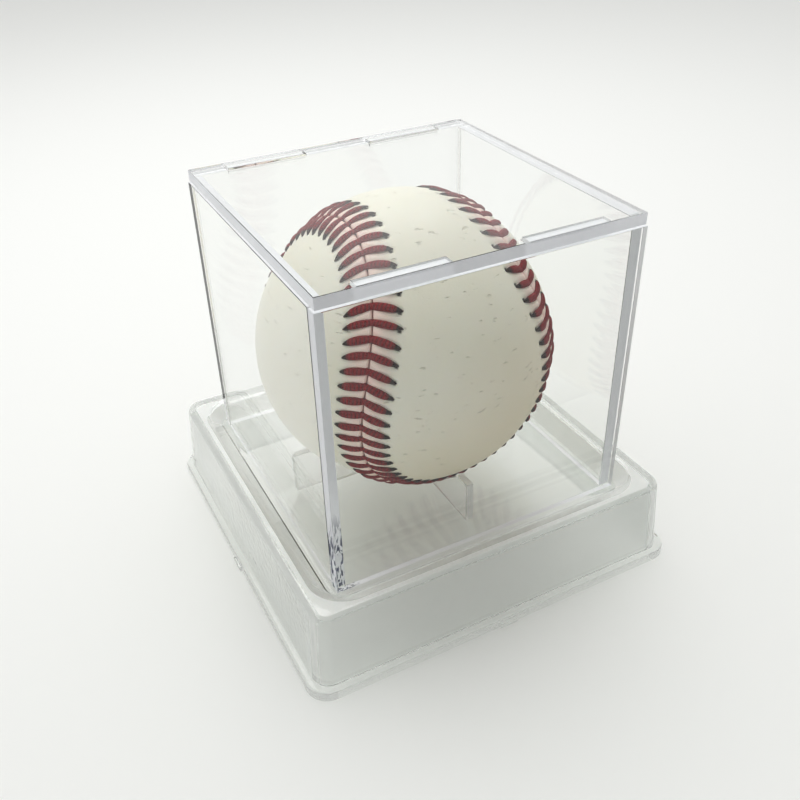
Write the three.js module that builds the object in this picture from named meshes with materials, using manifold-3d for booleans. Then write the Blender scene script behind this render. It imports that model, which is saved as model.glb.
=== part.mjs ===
// Baseball display case: a clear square cover that stands in the recess of a hollow pedestal tray,
// four cradle fins, and the ball that the case is made to show.
// Millimetres, +Z up. The origin is the centre of the footprint, on the surface that the case stands on.
// -Y is the front.

import * as THREE from 'three';
import { mergeVertices } from 'three/addons/utils/BufferGeometryUtils.js';
import Module from 'manifold-3d';

const wasm = await Module();
wasm.setup();

// ---- Driving dimensions ----

const GAP = 0.3; // running and bonding gap between neighbouring pieces

// Pedestal tray
const TRAY_HEIGHT = 23.6;
const FLANGE_HALF = 53.1; // half the width of the foot flange
const FLANGE_THICKNESS = 2.8;
const FLANGE_CORNER = 5.8;
const FLANGE_ROUND = 0.9; // rounding of the flange's upper edge
const FOOT_CHAMFER = 0.4; // how far the flange's lower edge pulls in
const FOOT_CHAMFER_HEIGHT = 0.5;
const BODY_FOOT_HALF = 51.1; // half the width of the body where it meets the flange
const BODY_TOP_HALF = 50; // half the width just below the rounded top edge
const BODY_CORNER = 4.6;
const BODY_ROUND = 1.6; // rounding of the body's top edge
const TRAY_WALL = 2;
const HOLLOW_CHAMFER = 0.5; // bevel between the hollow's walls and its ceiling
const TUB_WALL = 1.6; // wall of the tub that forms the recess
const TUB_OVERLAP = 0.2; // how far the tub runs into the tray's top
const FLOOR_HEIGHT = 19.6; // height of the recess floor that the cover stands on
const FLOOR_HALF = 41.6;
const FLOOR_CORNER = 3.2;
const RECESS_HALF = 45; // half the width of the recess below its rounded lip
const RECESS_CORNER = 8;
const LIP_ROUND = 1.5;
const NIB_WIDTH = 5; // moulding nib in the middle of each side of the flange
const NIB_PROUD = 0.6;
const NIB_HEIGHT = 1.4;
const NIB_FOOT = 0.3; // height of the nib's underside
const OVERRUN = 1; // how far a cut, or the root of a joined piece, runs past the face it meets

// Cover
const COVER_HALF = 40.4; // half the width over the four walls
const SHEET = 2.9; // thickness of the walls and the lid
const CASE_HEIGHT = 97.6;
const LID_STEP = 0.3; // the lid stops this far inside the walls' outer faces
const TAB_LENGTH = 21;
const TAB_CENTRE = 20; // distance of each tab from the middle of its wall
const TAB_RISE = 1.7; // how far a tab stands into the lid
const TAB_LEDGE = 0.9; // how far a tab stands proud of the wall's inner face
const TAB_DROP = 0.8; // how far the ledge reaches down the wall

// Ball and cradle
const BALL_RADIUS = 36.7; // over the leather
const BALL_CENTRE_HEIGHT = 57.1;
const THREAD_RADIUS = 37.2; // over the raised stitching
const LEATHER = 1.3;
const WINDING_RADIUS = 34.8;
const PILL_RADIUS = 17.5;
const CHANNEL_RADIUS = 1; // radial channel that opens the winding's hollow
const STITCH_BAND = 12.4; // width of the band that holds both rows of stitches
const STITCH_CLEARANCE = 0.24; // between the band's underside and the leather
const SEAM_BEND = 0.465; // how strongly the seam snakes
const SEAM_LIFT = 1.133; // how far the seam swings towards the ball's two poles
const BALL_TURN = [-4.9, 1.3, -89.1]; // the ball's attitude in degrees, about X, then Y, then Z
const FIN_THICKNESS = 2;
const FIN_OUTER = 32; // radius of a fin's upright outer end
const FIN_HEIGHT = 11.9;
const FIN_INNER = 8;

// Resolution
const CORNER_STEPS = 6;
const FLANGE_EDGE_STEPS = 3;
const EDGE_STEPS = 4;
const SEAM_STEPS = 96;
const BAND_LINES = [1, 0.5, 0, -0.5, -1]; // lines along the stitch band, as shares of its half width
const PANEL_COLUMNS = 48;
const PANEL_ROWS = 12;

// Heights worked out from the ones above
const lidUnderside = CASE_HEIGHT - SHEET;
const wallTop = lidUnderside - GAP;
const wallFoot = FLOOR_HEIGHT + GAP;
const wallInner = COVER_HALF - SHEET;

// ---- Materials ----

const clearPlastic = new THREE.MeshStandardMaterial({
  color: 0xdfe4e2, roughness: 0.06, metalness: 0, transparent: true, opacity: 0.3,
});
const mouldedPlastic = new THREE.MeshStandardMaterial({
  color: 0xd3d8d4, roughness: 0.1, metalness: 0, transparent: true, opacity: 0.4,
});
const creamLeather = new THREE.MeshStandardMaterial({ color: 0xe1decd, roughness: 0.55, metalness: 0 });
const redThread = new THREE.MeshStandardMaterial({ color: 0x8c2d32, roughness: 0.7, metalness: 0 });
const woolWinding = new THREE.MeshStandardMaterial({ color: 0xc9c0ae, roughness: 0.9, metalness: 0 });
const pillRubber = new THREE.MeshStandardMaterial({ color: 0x6f2c25, roughness: 0.8, metalness: 0 });

// ---- Helpers ----

// A closed solid from a geometry, ready for cutting and joining.
function solid(geometry) {
  const bare = geometry.clone();
  bare.deleteAttribute('normal');
  bare.deleteAttribute('uv');
  const merged = mergeVertices(bare, 1e-4);
  return new wasm.Manifold(new wasm.Mesh({
    numProp: 3,
    vertProperties: new Float32Array(merged.attributes.position.array),
    triVerts: new Uint32Array(merged.index.array),
  }));
}

function geometryOf(manifold) {
  const mesh = manifold.getMesh();
  const geometry = new THREE.BufferGeometry();
  geometry.setAttribute('position', new THREE.BufferAttribute(mesh.vertProperties, 3));
  geometry.setIndex(new THREE.BufferAttribute(mesh.triVerts, 1));
  return geometry;
}

function box(x0, x1, y0, y1, z0, z1) {
  const geometry = new THREE.BoxGeometry(x1 - x0, y1 - y0, z1 - z0);
  return geometry.translate((x0 + x1) / 2, (y0 + y1) / 2, (z0 + z1) / 2);
}

// One level of a loft: a square of the given half width with round corners, at height z.
function squareRing(half, corner, z) {
  const ring = [];
  for (let quarter = 0; quarter < 4; quarter += 1) {
    const start = quarter * Math.PI / 2;
    const diagonal = start + Math.PI / 4;
    const reach = (half - corner) * Math.SQRT2;
    for (let step = 0; step <= CORNER_STEPS; step += 1) {
      const angle = start + step / CORNER_STEPS * Math.PI / 2;
      const x = reach * Math.cos(diagonal) + corner * Math.cos(angle);
      const y = reach * Math.sin(diagonal) + corner * Math.sin(angle);
      ring.push([x, y, z]);
    }
  }
  return ring;
}

// Joins each ring of a list to the next and closes both ends.
function loft(rings) {
  const size = rings[0].length;
  const positions = rings.flat(2);
  const index = [];
  for (let level = 0; level + 1 < rings.length; level += 1) {
    for (let point = 0; point < size; point += 1) {
      const a = level * size + point;
      const b = level * size + (point + 1) % size;
      index.push(a, b, b + size, a, b + size, a + size);
    }
  }
  const top = (rings.length - 1) * size;
  for (let point = 1; point + 1 < size; point += 1) {
    index.push(0, point + 1, point);
    index.push(top, top + point, top + point + 1);
  }
  const geometry = new THREE.BufferGeometry();
  geometry.setAttribute('position', new THREE.Float32BufferAttribute(positions, 3));
  geometry.setIndex(index);
  return geometry;
}

// Rings of a quarter-round edge that leaves the given level and pulls in by the radius.
function roundedEdge(half, corner, z, radius, steps) {
  const rings = [];
  for (let step = 0; step <= steps; step += 1) {
    const angle = step / steps * Math.PI / 2;
    const inset = radius * (1 - Math.cos(angle));
    rings.push(squareRing(half - inset, corner - inset, z + radius * Math.sin(angle)));
  }
  return rings;
}

function piece(name, geometry, material) {
  const mesh = new THREE.Mesh(geometry, material);
  mesh.name = name;
  return mesh;
}

// ---- Pedestal tray ----

function trayOutside() {
  const flangeShoulder = FLANGE_THICKNESS - FLANGE_ROUND;
  return loft([
    squareRing(FLANGE_HALF - FOOT_CHAMFER, FLANGE_CORNER - FOOT_CHAMFER, 0),
    squareRing(FLANGE_HALF, FLANGE_CORNER, FOOT_CHAMFER_HEIGHT),
    ...roundedEdge(FLANGE_HALF, FLANGE_CORNER, flangeShoulder, FLANGE_ROUND, FLANGE_EDGE_STEPS),
    squareRing(BODY_FOOT_HALF, BODY_CORNER, FLANGE_THICKNESS),
    ...roundedEdge(BODY_TOP_HALF, BODY_CORNER, TRAY_HEIGHT - BODY_ROUND, BODY_ROUND, EDGE_STEPS),
  ]);
}

function trayHollow() {
  const ceiling = TRAY_HEIGHT - TRAY_WALL;
  const topHalf = BODY_TOP_HALF - TRAY_WALL;
  const corner = BODY_CORNER - TRAY_WALL;
  return loft([
    squareRing(BODY_FOOT_HALF - TRAY_WALL, corner, -OVERRUN),
    squareRing(topHalf, corner, ceiling - HOLLOW_CHAMFER),
    squareRing(topHalf - HOLLOW_CHAMFER, corner - HOLLOW_CHAMFER, ceiling),
  ]);
}

// The tub that hangs in the hollow and carries the recess.
function tub() {
  return loft([
    squareRing(FLOOR_HALF + TUB_WALL, FLOOR_CORNER + TUB_WALL, FLOOR_HEIGHT - TRAY_WALL),
    squareRing(RECESS_HALF + TUB_WALL, RECESS_CORNER + TUB_WALL, TRAY_HEIGHT - TRAY_WALL + TUB_OVERLAP),
  ]);
}

function recess() {
  const lipFoot = TRAY_HEIGHT - LIP_ROUND;
  const rings = [squareRing(FLOOR_HALF, FLOOR_CORNER, FLOOR_HEIGHT)];
  for (let step = 0; step <= EDGE_STEPS; step += 1) {
    const angle = step / EDGE_STEPS * Math.PI / 2;
    const outset = LIP_ROUND * (1 - Math.cos(angle));
    rings.push(squareRing(RECESS_HALF + outset, RECESS_CORNER + outset, lipFoot + LIP_ROUND * Math.sin(angle)));
  }
  rings.push(squareRing(RECESS_HALF + LIP_ROUND, RECESS_CORNER + LIP_ROUND, TRAY_HEIGHT + OVERRUN));
  return loft(rings);
}

function baseTray() {
  const hollow = solid(trayHollow()).subtract(solid(tub()));
  let tray = solid(trayOutside()).subtract(hollow).subtract(solid(recess()));
  const root = BODY_FOOT_HALF - OVERRUN;
  const tip = FLANGE_HALF + NIB_PROUD;
  for (let side = 0; side < 4; side += 1) {
    const nib = box(root, tip, -NIB_WIDTH / 2, NIB_WIDTH / 2, NIB_FOOT, NIB_FOOT + NIB_HEIGHT);
    nib.rotateZ(side * Math.PI / 2);
    tray = tray.add(solid(nib));
  }
  return piece('base_tray', geometryOf(tray), mouldedPlastic);
}

// ---- Cradle fins ----

// Side view of a fin: upright outer end, short flat top, then a hollow curve around the ball.
function finProfile() {
  const seat = THREAD_RADIUS + GAP / 2;
  const foot = FLOOR_HEIGHT + GAP;
  const top = FLOOR_HEIGHT + FIN_HEIGHT;
  const reachTop = Math.sqrt(seat ** 2 - (BALL_CENTRE_HEIGHT - top) ** 2);
  const startAngle = -Math.acos(reachTop / seat);
  const endAngle = -Math.acos(FIN_INNER / seat);
  const shape = new THREE.Shape();
  shape.moveTo(FIN_INNER, foot);
  shape.lineTo(FIN_OUTER, foot);
  shape.lineTo(FIN_OUTER, top);
  shape.lineTo(reachTop, top);
  shape.absarc(0, BALL_CENTRE_HEIGHT, seat, startAngle, endAngle, true);
  return shape;
}

function cradleFins() {
  const geometry = new THREE.ExtrudeGeometry(finProfile(), {
    depth: FIN_THICKNESS, bevelEnabled: false, curveSegments: 14,
  });
  geometry.translate(0, 0, -FIN_THICKNESS / 2);
  geometry.rotateX(Math.PI / 2);
  const places = { right: 0, back: 1, left: 2, front: 3 };
  return Object.entries(places).map(([side, quarter]) => {
    const fin = piece(`cradle_fin_${side}`, geometry.clone(), mouldedPlastic);
    fin.rotation.z = quarter * Math.PI / 2;
    return fin;
  });
}

// ---- Cover ----

// A tab is an L in section: it rises from the wall into the lid and has a ledge on the inside.
function frontTab(centre, clearance) {
  const half = TAB_LENGTH / 2 + clearance;
  const outer = -COVER_HALF + SHEET / 2 - clearance;
  const inner = -wallInner + TAB_LEDGE + clearance;
  return box(centre - half, centre + half, outer, inner, wallTop - TAB_DROP, wallTop + TAB_RISE + GAP + clearance);
}

const tabPlaces = [-TAB_CENTRE, TAB_CENTRE];

function coverLid() {
  const half = COVER_HALF - LID_STEP;
  let lid = solid(box(-half, half, -half, half, lidUnderside, CASE_HEIGHT));
  for (const turn of [0, Math.PI]) {
    for (const centre of tabPlaces) {
      lid = lid.subtract(solid(frontTab(centre, GAP).rotateZ(turn)));
    }
  }
  return piece('cover_lid', geometryOf(lid), clearPlastic);
}

// The front and back walls run the full width and carry the tabs.
function tabbedWall(name, turn) {
  let wall = solid(box(-COVER_HALF, COVER_HALF, -COVER_HALF, -wallInner, wallFoot, wallTop));
  for (const centre of tabPlaces) {
    wall = wall.add(solid(frontTab(centre, 0)));
  }
  const mesh = piece(name, geometryOf(wall), clearPlastic);
  mesh.rotation.z = turn;
  return mesh;
}

// The side walls stand between the front and back walls.
function plainWall(name, side) {
  const reach = wallInner - GAP;
  const middle = side * (COVER_HALF - SHEET / 2);
  const geometry = box(middle - SHEET / 2, middle + SHEET / 2, -reach, reach, wallFoot, wallTop);
  return piece(name, geometry, clearPlastic);
}

// ---- Ball ----

// The seam's unit vector at a fraction t of the way round.
function seamPoint(t) {
  const turn = t * Math.PI * 2;
  return new THREE.Vector3(
    Math.sin(turn) + SEAM_BEND * Math.sin(3 * turn),
    Math.cos(turn) - SEAM_BEND * Math.cos(3 * turn),
    SEAM_LIFT * Math.cos(2 * turn),
  ).normalize();
}

// A unit vector beside the seam: positive is towards the panel that covers the +Z pole.
function besideSeam(t, distance) {
  const step = 1e-4;
  const point = seamPoint(t);
  const along = seamPoint(t + step).sub(seamPoint(t - step)).normalize();
  const across = new THREE.Vector3().crossVectors(along, point);
  return point.clone().addScaledVector(across, distance / BALL_RADIUS).normalize();
}

// One figure-eight panel. Each column is an arc between two mirrored points of the seam.
function leatherPanel() {
  const columns = PANEL_COLUMNS;
  const rows = PANEL_ROWS;
  const outer = BALL_RADIUS;
  const inner = BALL_RADIUS - LEATHER;
  const positions = [];
  const grid = (radius) => {
    for (let column = 0; column <= columns; column += 1) {
      const t = -0.25 + column / columns * 0.5;
      const edge = besideSeam(t, GAP / 2);
      const longitude = Math.atan2(edge.x, edge.z);
      const latitude = Math.asin(edge.y);
      for (let row = 0; row <= rows; row += 1) {
        const lift = latitude * (1 - 2 * row / rows);
        positions.push(
          radius * Math.cos(lift) * Math.sin(longitude),
          radius * Math.sin(lift),
          radius * Math.cos(lift) * Math.cos(longitude),
        );
      }
    }
  };
  grid(outer);
  grid(inner);
  const layer = (columns + 1) * (rows + 1);
  const at = (column, row) => column * (rows + 1) + row;
  const index = [];
  for (let column = 0; column < columns; column += 1) {
    for (let row = 0; row < rows; row += 1) {
      const [a, b] = [at(column, row), at(column + 1, row)];
      const [c, d] = [at(column + 1, row + 1), at(column, row + 1)];
      index.push(a, d, c, a, c, b);
      index.push(layer + a, layer + c, layer + d, layer + a, layer + b, layer + c);
    }
    const [near, next] = [at(column, 0), at(column + 1, 0)];
    const [far, farNext] = [at(column, rows), at(column + 1, rows)];
    index.push(near, next, layer + next, near, layer + next, layer + near);
    index.push(far, layer + farNext, farNext, far, layer + far, layer + farNext);
  }
  const geometry = new THREE.BufferGeometry();
  geometry.setAttribute('position', new THREE.Float32BufferAttribute(positions, 3));
  geometry.setIndex(index);
  return geometryOf(solid(geometry));
}

// A band that follows the seam and holds the space of both rows of stitches.
function stitchBand() {
  const inner = BALL_RADIUS + STITCH_CLEARANCE;
  const rings = [];
  for (let step = 0; step < SEAM_STEPS; step += 1) {
    const t = step / SEAM_STEPS;
    const lines = BAND_LINES.map((share) => besideSeam(t, share * STITCH_BAND / 2));
    const section = [
      ...lines.map((direction) => [direction, THREAD_RADIUS]),
      ...lines.toReversed().map((direction) => [direction, inner]),
    ];
    rings.push(section.map(([direction, radius]) => direction.clone().multiplyScalar(radius).toArray()));
  }
  const size = rings[0].length;
  const index = [];
  for (let step = 0; step < SEAM_STEPS; step += 1) {
    const here = step * size;
    const next = (step + 1) % SEAM_STEPS * size;
    for (let corner = 0; corner < size; corner += 1) {
      const after = (corner + 1) % size;
      index.push(here + corner, next + corner, next + after);
      index.push(here + corner, next + after, here + after);
    }
  }
  const geometry = new THREE.BufferGeometry();
  geometry.setAttribute('position', new THREE.Float32BufferAttribute(rings.flat(2), 3));
  geometry.setIndex(index);
  return geometryOf(solid(geometry));
}

// The yarn winding: a thick ball with a round hollow, opened by one thin channel.
function winding() {
  const hollow = PILL_RADIUS + GAP;
  const points = [];
  const outerTop = Math.acos(CHANNEL_RADIUS / WINDING_RADIUS);
  const innerTop = Math.acos(CHANNEL_RADIUS / hollow);
  const steps = 18;
  for (let step = 0; step <= steps; step += 1) {
    const angle = -Math.PI / 2 + step / steps * (outerTop + Math.PI / 2);
    points.push(new THREE.Vector2(WINDING_RADIUS * Math.cos(angle), WINDING_RADIUS * Math.sin(angle)));
  }
  for (let step = steps; step >= 0; step -= 1) {
    const angle = -Math.PI / 2 + step / steps * (innerTop + Math.PI / 2);
    points.push(new THREE.Vector2(hollow * Math.cos(angle), hollow * Math.sin(angle)));
  }
  points[0].x = 0;
  points.at(-1).x = 0;
  return new THREE.LatheGeometry(points, 32).rotateX(Math.PI / 2);
}

function ball() {
  const group = new THREE.Group();
  const secondPanel = leatherPanel();
  secondPanel.applyMatrix4(new THREE.Matrix4().set(
    0, 1, 0, 0,
    -1, 0, 0, 0,
    0, 0, -1, 0,
    0, 0, 0, 1,
  ));
  const turnedInsideOut = secondPanel.index.array;
  for (let corner = 0; corner < turnedInsideOut.length; corner += 3) {
    [turnedInsideOut[corner + 1], turnedInsideOut[corner + 2]] = [
      turnedInsideOut[corner + 2], turnedInsideOut[corner + 1],
    ];
  }
  group.add(
    piece('ball_pill', new THREE.SphereGeometry(PILL_RADIUS, 24, 16), pillRubber),
    piece('ball_winding', winding(), woolWinding),
    piece('ball_leather_a', leatherPanel(), creamLeather),
    piece('ball_leather_b', secondPanel, creamLeather),
    piece('ball_stitching', stitchBand(), redThread),
  );
  const [x, y, z] = BALL_TURN.map(THREE.MathUtils.degToRad);
  group.rotation.set(x, y, z, 'XYZ');
  group.position.z = BALL_CENTRE_HEIGHT;
  return group;
}

// ---- The whole case ----

const displayCase = new THREE.Group();
displayCase.add(
  baseTray(),
  ...cradleFins(),
  coverLid(),
  tabbedWall('cover_wall_front', 0),
  tabbedWall('cover_wall_back', Math.PI),
  plainWall('cover_wall_left', -1),
  plainWall('cover_wall_right', 1),
  ball(),
);

export default displayCase;
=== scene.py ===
# %% [markdown]
# # A ball display case
# A clear square cover stands in the recess of a clear moulded tray, over a stitched ball that sits on
# four small fins. Nearly everything here is see-through, so the look comes from three things: real wall
# thickness, edges that are cut rather than polished, and pale surroundings for the plastic to bend.
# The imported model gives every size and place. It is loaded first and never changed.

# %% Load the frame
import bpy
import bmesh
import math
import numpy as np
from mathutils import Matrix, Vector


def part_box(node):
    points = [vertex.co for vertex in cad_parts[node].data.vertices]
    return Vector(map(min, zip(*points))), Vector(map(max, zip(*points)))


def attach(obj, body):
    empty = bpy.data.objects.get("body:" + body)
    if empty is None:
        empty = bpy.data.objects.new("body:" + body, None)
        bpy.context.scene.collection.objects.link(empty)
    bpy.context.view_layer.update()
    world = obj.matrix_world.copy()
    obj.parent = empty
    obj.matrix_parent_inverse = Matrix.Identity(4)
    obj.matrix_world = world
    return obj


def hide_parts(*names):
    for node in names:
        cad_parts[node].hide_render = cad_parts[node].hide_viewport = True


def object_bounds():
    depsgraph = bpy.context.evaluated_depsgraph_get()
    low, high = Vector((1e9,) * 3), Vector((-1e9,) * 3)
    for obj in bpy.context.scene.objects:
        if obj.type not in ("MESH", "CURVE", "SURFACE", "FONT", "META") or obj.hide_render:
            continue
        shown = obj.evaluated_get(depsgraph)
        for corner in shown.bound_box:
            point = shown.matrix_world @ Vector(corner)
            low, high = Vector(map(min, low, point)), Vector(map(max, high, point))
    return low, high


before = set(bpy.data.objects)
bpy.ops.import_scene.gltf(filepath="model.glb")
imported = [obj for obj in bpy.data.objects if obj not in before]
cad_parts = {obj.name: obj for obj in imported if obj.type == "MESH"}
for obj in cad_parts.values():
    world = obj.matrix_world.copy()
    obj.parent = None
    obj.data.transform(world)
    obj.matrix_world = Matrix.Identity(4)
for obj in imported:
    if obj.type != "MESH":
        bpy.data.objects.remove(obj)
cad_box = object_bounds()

scene = bpy.context.scene
MM = 0.001
case_low, case_high = (corner / MM for corner in cad_box)
print("case in mm:", [round(side, 1) for side in case_high - case_low])

# %% [markdown]
# ## Camera
# The case is seen from a little above and from its left front corner, quite close, which is why its
# upright edges lean together. The camera is placed by the point it looks at, its bearing, its height
# angle and its distance. That reads better than a bare position, and each number can be tuned alone.

# %% Camera
VIEW_BEARING = math.radians(-26.92)
VIEW_HEIGHT = math.radians(34.17)
VIEW_ROLL = math.radians(-1.57)
VIEW_DISTANCE = 246.3
VIEW_CENTRE = Vector((-1.4, 1.36, 37.1))
LENS = 40.33


def place_camera():
    back = Vector((
        math.sin(VIEW_BEARING) * math.cos(VIEW_HEIGHT),
        -math.cos(VIEW_BEARING) * math.cos(VIEW_HEIGHT),
        math.sin(VIEW_HEIGHT),
    ))
    right = (-back).cross(Vector((0, 0, 1))).normalized()
    up = right.cross(-back)
    turned_right = right * math.cos(VIEW_ROLL) + up * math.sin(VIEW_ROLL)
    turned_up = up * math.cos(VIEW_ROLL) - right * math.sin(VIEW_ROLL)
    camera = bpy.data.objects.new("camera", bpy.data.cameras.new("camera"))
    camera.data.lens = LENS
    camera.data.clip_start = 0.005
    turn = Matrix((turned_right, turned_up, back)).transposed()
    camera.matrix_world = Matrix.Translation((VIEW_CENTRE + back * VIEW_DISTANCE) * MM) @ turn.to_4x4()
    scene.collection.objects.link(camera)
    scene.camera = camera
    return camera


camera = place_camera()
print("camera at (mm):", [round(v / MM, 1) for v in camera.location])

# %% [markdown]
# ## Small tools
# Meshes are written in millimetres, as a maker would read them off a drawing, and turned into metres in
# one place. Smooth shading with sharp edges kept lets a rounded moulding bend light cleanly.

# %% Mesh tools
SHARP_ANGLE = math.radians(32)
FLAT_ENOUGH = 0.9995


def new_piece(name, points, faces, *materials):
    mesh = bpy.data.meshes.new(name)
    mesh.from_pydata(np.asarray(points, float) * MM, [], faces)
    for material in materials:
        mesh.materials.append(material)
    piece = bpy.data.objects.new(name, mesh)
    scene.collection.objects.link(piece)
    return piece


def shade_smooth(mesh, angle=SHARP_ANGLE):
    mesh.polygons.foreach_set("use_smooth", [True] * len(mesh.polygons))
    mesh.set_sharp_from_angle(angle=angle)


def keep_flats_flat(mesh):
    """Smooth rounds between truly flat faces, so that a flat clear face bends light evenly."""
    for face in mesh.polygons:
        face.use_smooth = max(abs(part) for part in face.normal) < FLAT_ENOUGH


def tidy_mesh(mesh, merge=1e-6):
    """Merge points closer than merge (in metres), turn the faces outwards and count open edges."""
    shape = bmesh.new()
    shape.from_mesh(mesh)
    bmesh.ops.remove_doubles(shape, verts=shape.verts, dist=merge)
    bmesh.ops.dissolve_degenerate(shape, edges=shape.edges, dist=merge)
    bmesh.ops.recalc_face_normals(shape, faces=shape.faces)
    open_edges = sum(not edge.is_manifold for edge in shape.edges)
    shape.to_mesh(mesh)
    shape.free()
    return open_edges


def report(piece):
    triangles = sum(len(face.vertices) - 2 for face in piece.data.polygons)
    print(f"{piece.name}: {triangles} triangles")


# %% Shader tools
def add(tree, kind, inputs=None, **settings):
    made = tree.nodes.new(kind)
    for key, value in settings.items():
        setattr(made, key, value)
    for key, value in (inputs or {}).items():
        if isinstance(value, bpy.types.NodeSocket):
            tree.links.new(value, made.inputs[key])
        else:
            made.inputs[key].default_value = value
    return made


def new_material(name):
    """The material, its node tree and the place on the piece in metres."""
    material = bpy.data.materials.new(name)
    material.use_nodes = True
    tree = material.node_tree
    tree.nodes.clear()
    return material, tree, add(tree, "ShaderNodeTexCoord").outputs["Object"]


def noise(tree, where, scale, detail=3, **inputs):
    settings = {"Vector": where, "Scale": scale, "Detail": detail, **inputs}
    return add(tree, "ShaderNodeTexNoise", settings).outputs["Fac"]


def remap(tree, value, low, high, to_low, to_high):
    inputs = {"Value": value, 1: low, 2: high, 3: to_low, 4: to_high}
    return add(tree, "ShaderNodeMapRange", inputs).outputs[0]


def bump(tree, height, strength, distance, normal=None):
    inputs = {"Height": height, "Strength": strength, "Distance": distance}
    if normal:
        inputs["Normal"] = normal
    return add(tree, "ShaderNodeBump", inputs).outputs[0]


def combine(tree, operation, *values):
    """A maths node, or a chain of them where there are more than two values."""
    result = values[0]
    for value in values[1:]:
        result = add(tree, "ShaderNodeMath", {0: result, 1: value}, operation=operation).outputs[0]
    return result


def product(tree, *values):
    return combine(tree, "MULTIPLY", *values)


def ramp(tree, value, *stops):
    made = add(tree, "ShaderNodeValToRGB", {"Fac": value})
    elements = made.color_ramp.elements
    while len(elements) < len(stops):
        elements.new(0.5)
    for element, (place, colour) in zip(elements, stops):
        element.position = place
        element.color = (*colour, 1)
    return made.outputs[0]


def mix_colour(tree, factor, a, b, blend="MIX"):
    made = add(tree, "ShaderNodeMix", data_type="RGBA", blend_type=blend)
    for key, value in ((0, factor), (6, a), (7, b)):
        if isinstance(value, bpy.types.NodeSocket):
            tree.links.new(value, made.inputs[key])
        else:
            made.inputs[key].default_value = value if key == 0 else (*value, 1)
    return made.outputs[2]


def principled(tree, **inputs):
    """The main shader, with inputs named as in Blender but with underscores for spaces."""
    named = {key.replace("_", " "): value for key, value in inputs.items()}
    return add(tree, "ShaderNodeBsdfPrincipled", named).outputs[0]


def finish_material(tree, shader):
    add(tree, "ShaderNodeOutputMaterial", {"Surface": shader})


# %% [markdown]
# ## Clear plastic
# The cover is cut from clear sheet and the tray is moulded, both in a plastic that bends light like
# acrylic. Cycles could trace the light that such plastic focuses, but that takes thousands of samples.
# Instead, lamp light and light bounced off matt things go straight through, slightly dimmed at each
# face, and only what the camera and mirror-like rays meet is bent. The case then keeps a soft shadow.
# The sawn edges share one finish, and in it the glue at the foot of the left front corner has crazed.

# %% Clear plastic
PLASTIC_IOR = 1.49
PASSED_LIGHT = (0.955, 0.96, 0.955, 1)
CRAZED_FROM, CRAZED_FULLY = -34.0, -36.5
CRAZED_TOP, CRAZED_FADE = 43.0, 9.0
CRAZED_COLOUR = (0.05, 0.06, 0.13)


def let_light_through(tree, shader):
    path = add(tree, "ShaderNodeLightPath")
    straight = add(tree, "ShaderNodeBsdfTransparent", {"Color": PASSED_LIGHT})
    for way in ("Is Diffuse Ray", "Is Shadow Ray"):
        inputs = {0: path.outputs[way], 1: shader, 2: straight.outputs[0]}
        shader = add(tree, "ShaderNodeMixShader", inputs).outputs[0]
    return shader


def clear_plastic(name, colour, smudge, wave_size, wave_height):
    """Glass-clear plastic with faint wiping marks and the slight unevenness of its surface."""
    material, tree, where = new_material(name)
    patches = noise(tree, where, 25, 2)
    roughness = remap(tree, patches, 0.3, 0.7, 0, smudge)
    waves = noise(tree, where, 1 / (wave_size * MM), 1)
    surface = bump(tree, waves, 1, wave_height * MM)
    plastic = principled(tree, Base_Color=(*colour, 1), Roughness=roughness, IOR=PLASTIC_IOR,
                         Transmission_Weight=1.0, Normal=surface)
    finish_material(tree, let_light_through(tree, plastic))
    return material


def poor_joint(tree, where):
    """Where the glue has crazed: streaks up the foot of the joint at the left front corner."""
    x, y, z = add(tree, "ShaderNodeSeparateXYZ", {0: where}).outputs
    corner = [remap(tree, side, CRAZED_FROM * MM, CRAZED_FULLY * MM, 0, 1) for side in (x, y)]
    foot = remap(tree, z, CRAZED_TOP * MM, (CRAZED_TOP - CRAZED_FADE) * MM, 0, 1)
    stretched = add(tree, "ShaderNodeMapping", {"Vector": where, "Scale": (1, 1, 0.22)}).outputs[0]
    streaks = remap(tree, noise(tree, stretched, 1100, 3, Distortion=1.2), 0.49, 0.55, 0, 1)
    return product(tree, *corner, foot, streaks)


def matt_plastic(name, colour, roughness, grain_size, grain_height, clear_share, crazed=False):
    """Clear plastic with a matt skin: a sawn edge, a bonded joint or the grained inside of a mould."""
    material, tree, where = new_material(name)
    grain = noise(tree, where, 1 / (grain_size * MM), 4)
    surface = bump(tree, grain, 1, grain_height * MM)
    uneven = remap(tree, noise(tree, where, 90, 2), 0.3, 0.7, roughness * 0.8, roughness * 1.2)
    tint = (*colour, 1)
    if crazed:
        tint = mix_colour(tree, poor_joint(tree, where), colour, CRAZED_COLOUR)
    plastic = principled(tree, Base_Color=tint, Roughness=uneven, IOR=PLASTIC_IOR,
                         Transmission_Weight=clear_share, Normal=surface)
    finish_material(tree, let_light_through(tree, plastic))
    return material


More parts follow.
